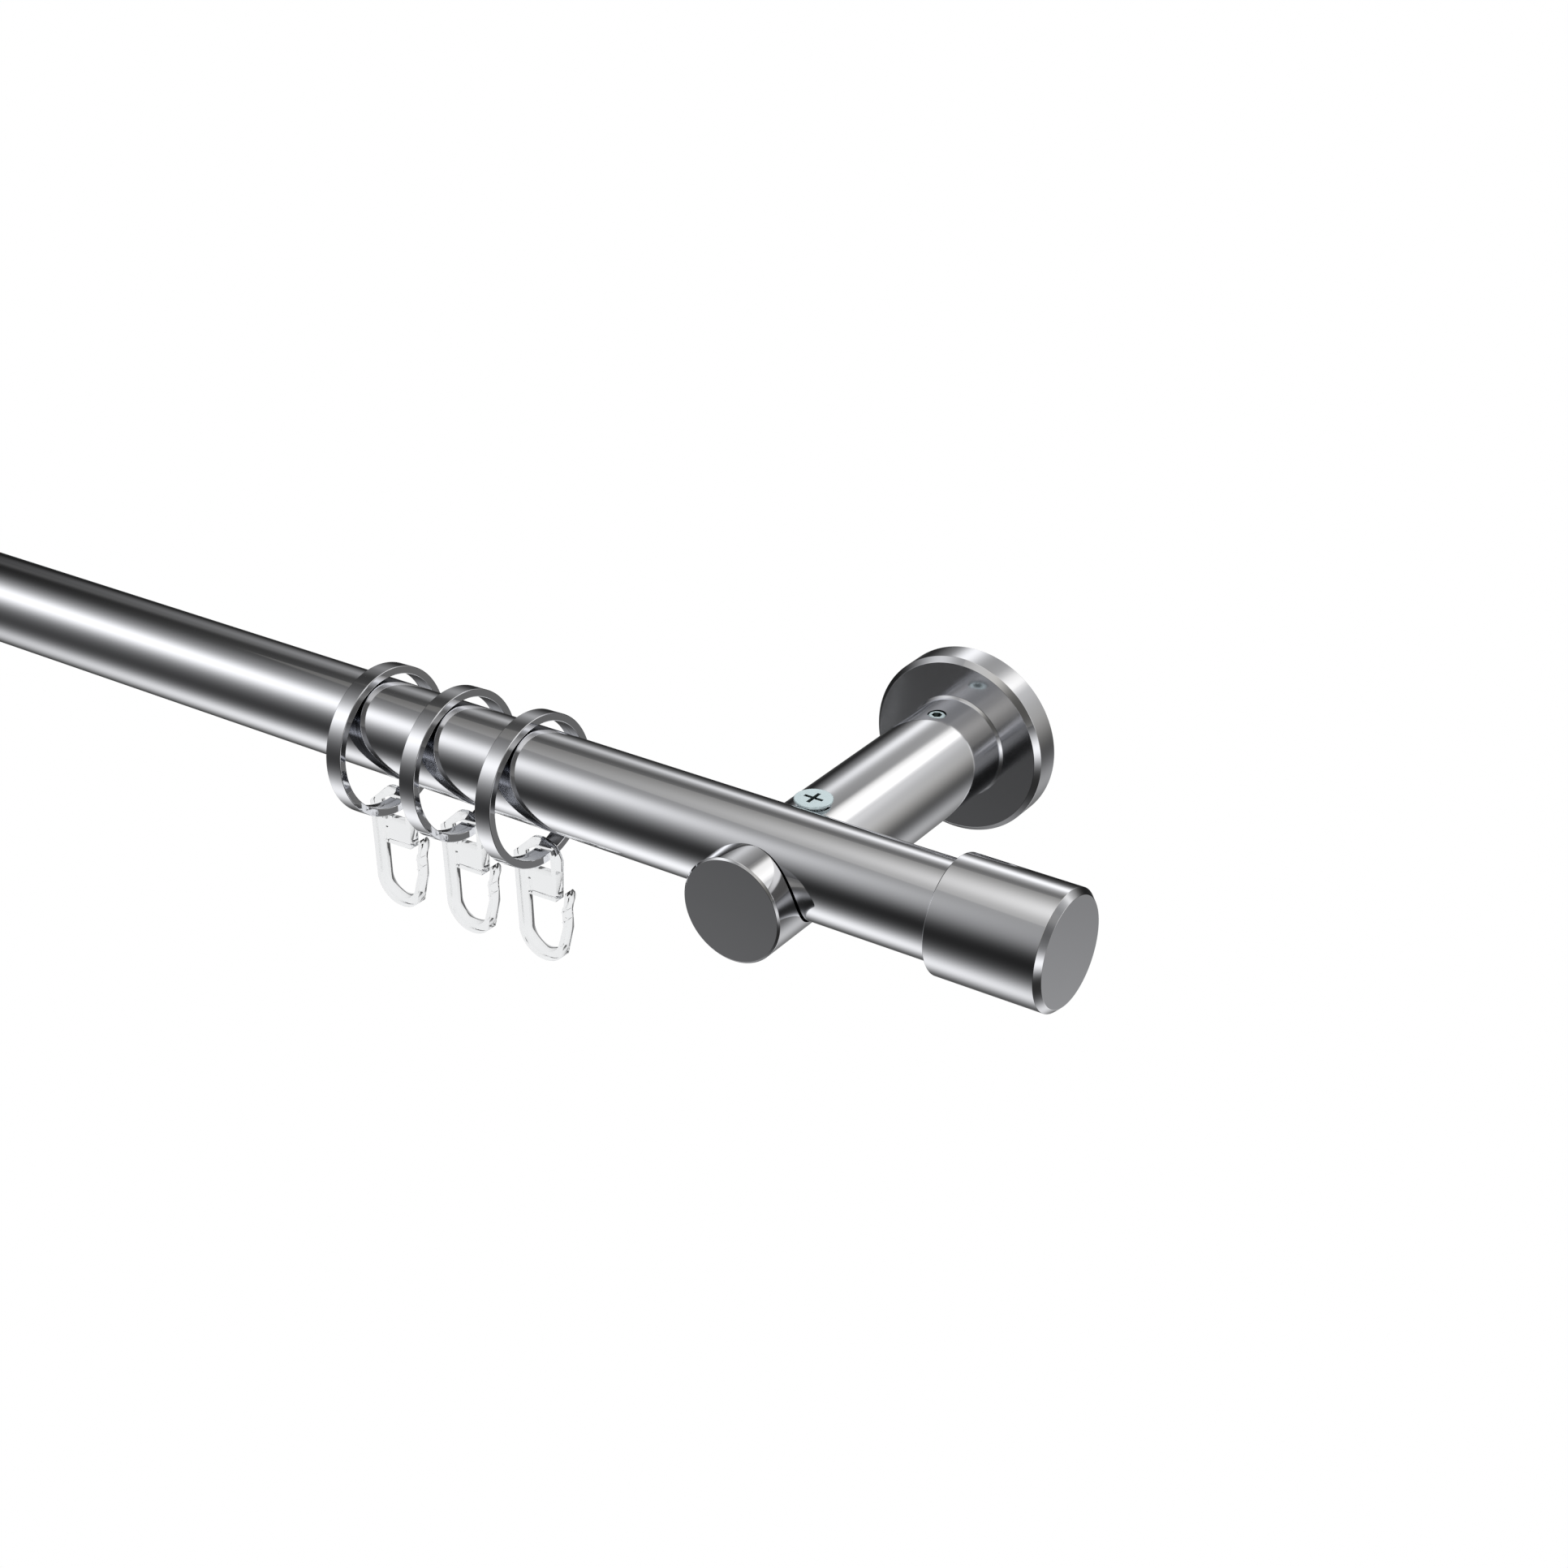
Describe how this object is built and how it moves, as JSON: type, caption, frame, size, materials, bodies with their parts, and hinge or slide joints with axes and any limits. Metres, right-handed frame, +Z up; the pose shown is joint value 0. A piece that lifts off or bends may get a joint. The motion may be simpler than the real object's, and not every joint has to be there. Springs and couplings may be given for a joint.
{
  "type": "curtain rod",
  "caption": "Chromed curtain rod on round wall brackets, with push-on end caps and sliding rings that carry clear pleat hooks.",
  "frame": {"origin": "on the wall, midway between the two brackets, on the axis of their arms", "axes": "+X along the rod, towards the end with the rings; +Y into the wall; +Z up"},
  "size_m": [1.207, 0.0904, 0.061],
  "materials": {
    "chrome": "polished chrome plate on steel and zinc",
    "zinc": "bright zinc plate",
    "steel": "bare turned steel",
    "grey_plastic": "moulded, matt",
    "clear_plastic": "clear, moulded"
  },
  "bodies": {
    "rod": {"rod_tube": "chrome", "arm_right": "chrome", "arm_left": "chrome", "clamp_screw_right": "zinc", "clamp_screw_left": "zinc", "grub_screw_right": "zinc", "grub_screw_left": "zinc", "rosette_right": "chrome", "rosette_left": "chrome", "wall_plate_right": "steel", "wall_plate_left": "steel", "spigot_right": "steel", "spigot_left": "steel", "spigot_screw_right": "zinc", "spigot_screw_left": "zinc"},
    "cap_right": {"end_cap_right": "chrome", "cap_plug_right": "grey_plastic"},
    "cap_left": {"end_cap_left": "chrome", "cap_plug_left": "grey_plastic"},
    "ring_1": {"ring_1": "chrome"},
    "hook_1": {"hook_1": "clear_plastic"},
    "ring_2": {"ring_2": "chrome"},
    "hook_2": {"hook_2": "clear_plastic"},
    "ring_3": {"ring_3": "chrome"},
    "hook_3": {"hook_3": "clear_plastic"}
  },
  "joints": [
    {"name": "cap_right_pull", "type": "slide", "parent": "rod", "child": "cap_right", "axis": [1, 0, 0], "range_m": [0, 0.024]},
    {"name": "cap_left_pull", "type": "slide", "parent": "rod", "child": "cap_left", "axis": [-1, 0, 0], "range_m": [0, 0.024]},
    {"name": "ring_1_slide", "type": "slide", "parent": "rod", "child": "ring_1", "axis": [1, 0, 0], "range_m": [-0.31, 0.042]},
    {"name": "ring_2_slide", "type": "slide", "parent": "ring_1", "child": "ring_2", "axis": [1, 0, 0], "range_m": [-0.31, 0.0058]},
    {"name": "ring_3_slide", "type": "slide", "parent": "ring_2", "child": "ring_3", "axis": [1, 0, 0], "range_m": [-0.31, 0.0058]},
    {"name": "hook_1_swing", "type": "hinge", "parent": "ring_1", "child": "hook_1", "pos_m": [0.4789, -0.07327, 0.00047], "axis": [0.9996, 0, 0.0297], "range_deg": [-60, 60]},
    {"name": "hook_2_swing", "type": "hinge", "parent": "ring_2", "child": "hook_2", "pos_m": [0.4588, -0.07327, 0.00047], "axis": [0.9996, 0, 0.0297], "range_deg": [-60, 60]},
    {"name": "hook_3_swing", "type": "hinge", "parent": "ring_3", "child": "hook_3", "pos_m": [0.4387, -0.07327, 0.00047], "axis": [0.9996, 0, 0.0297], "range_deg": [-60, 60]}
  ]
}
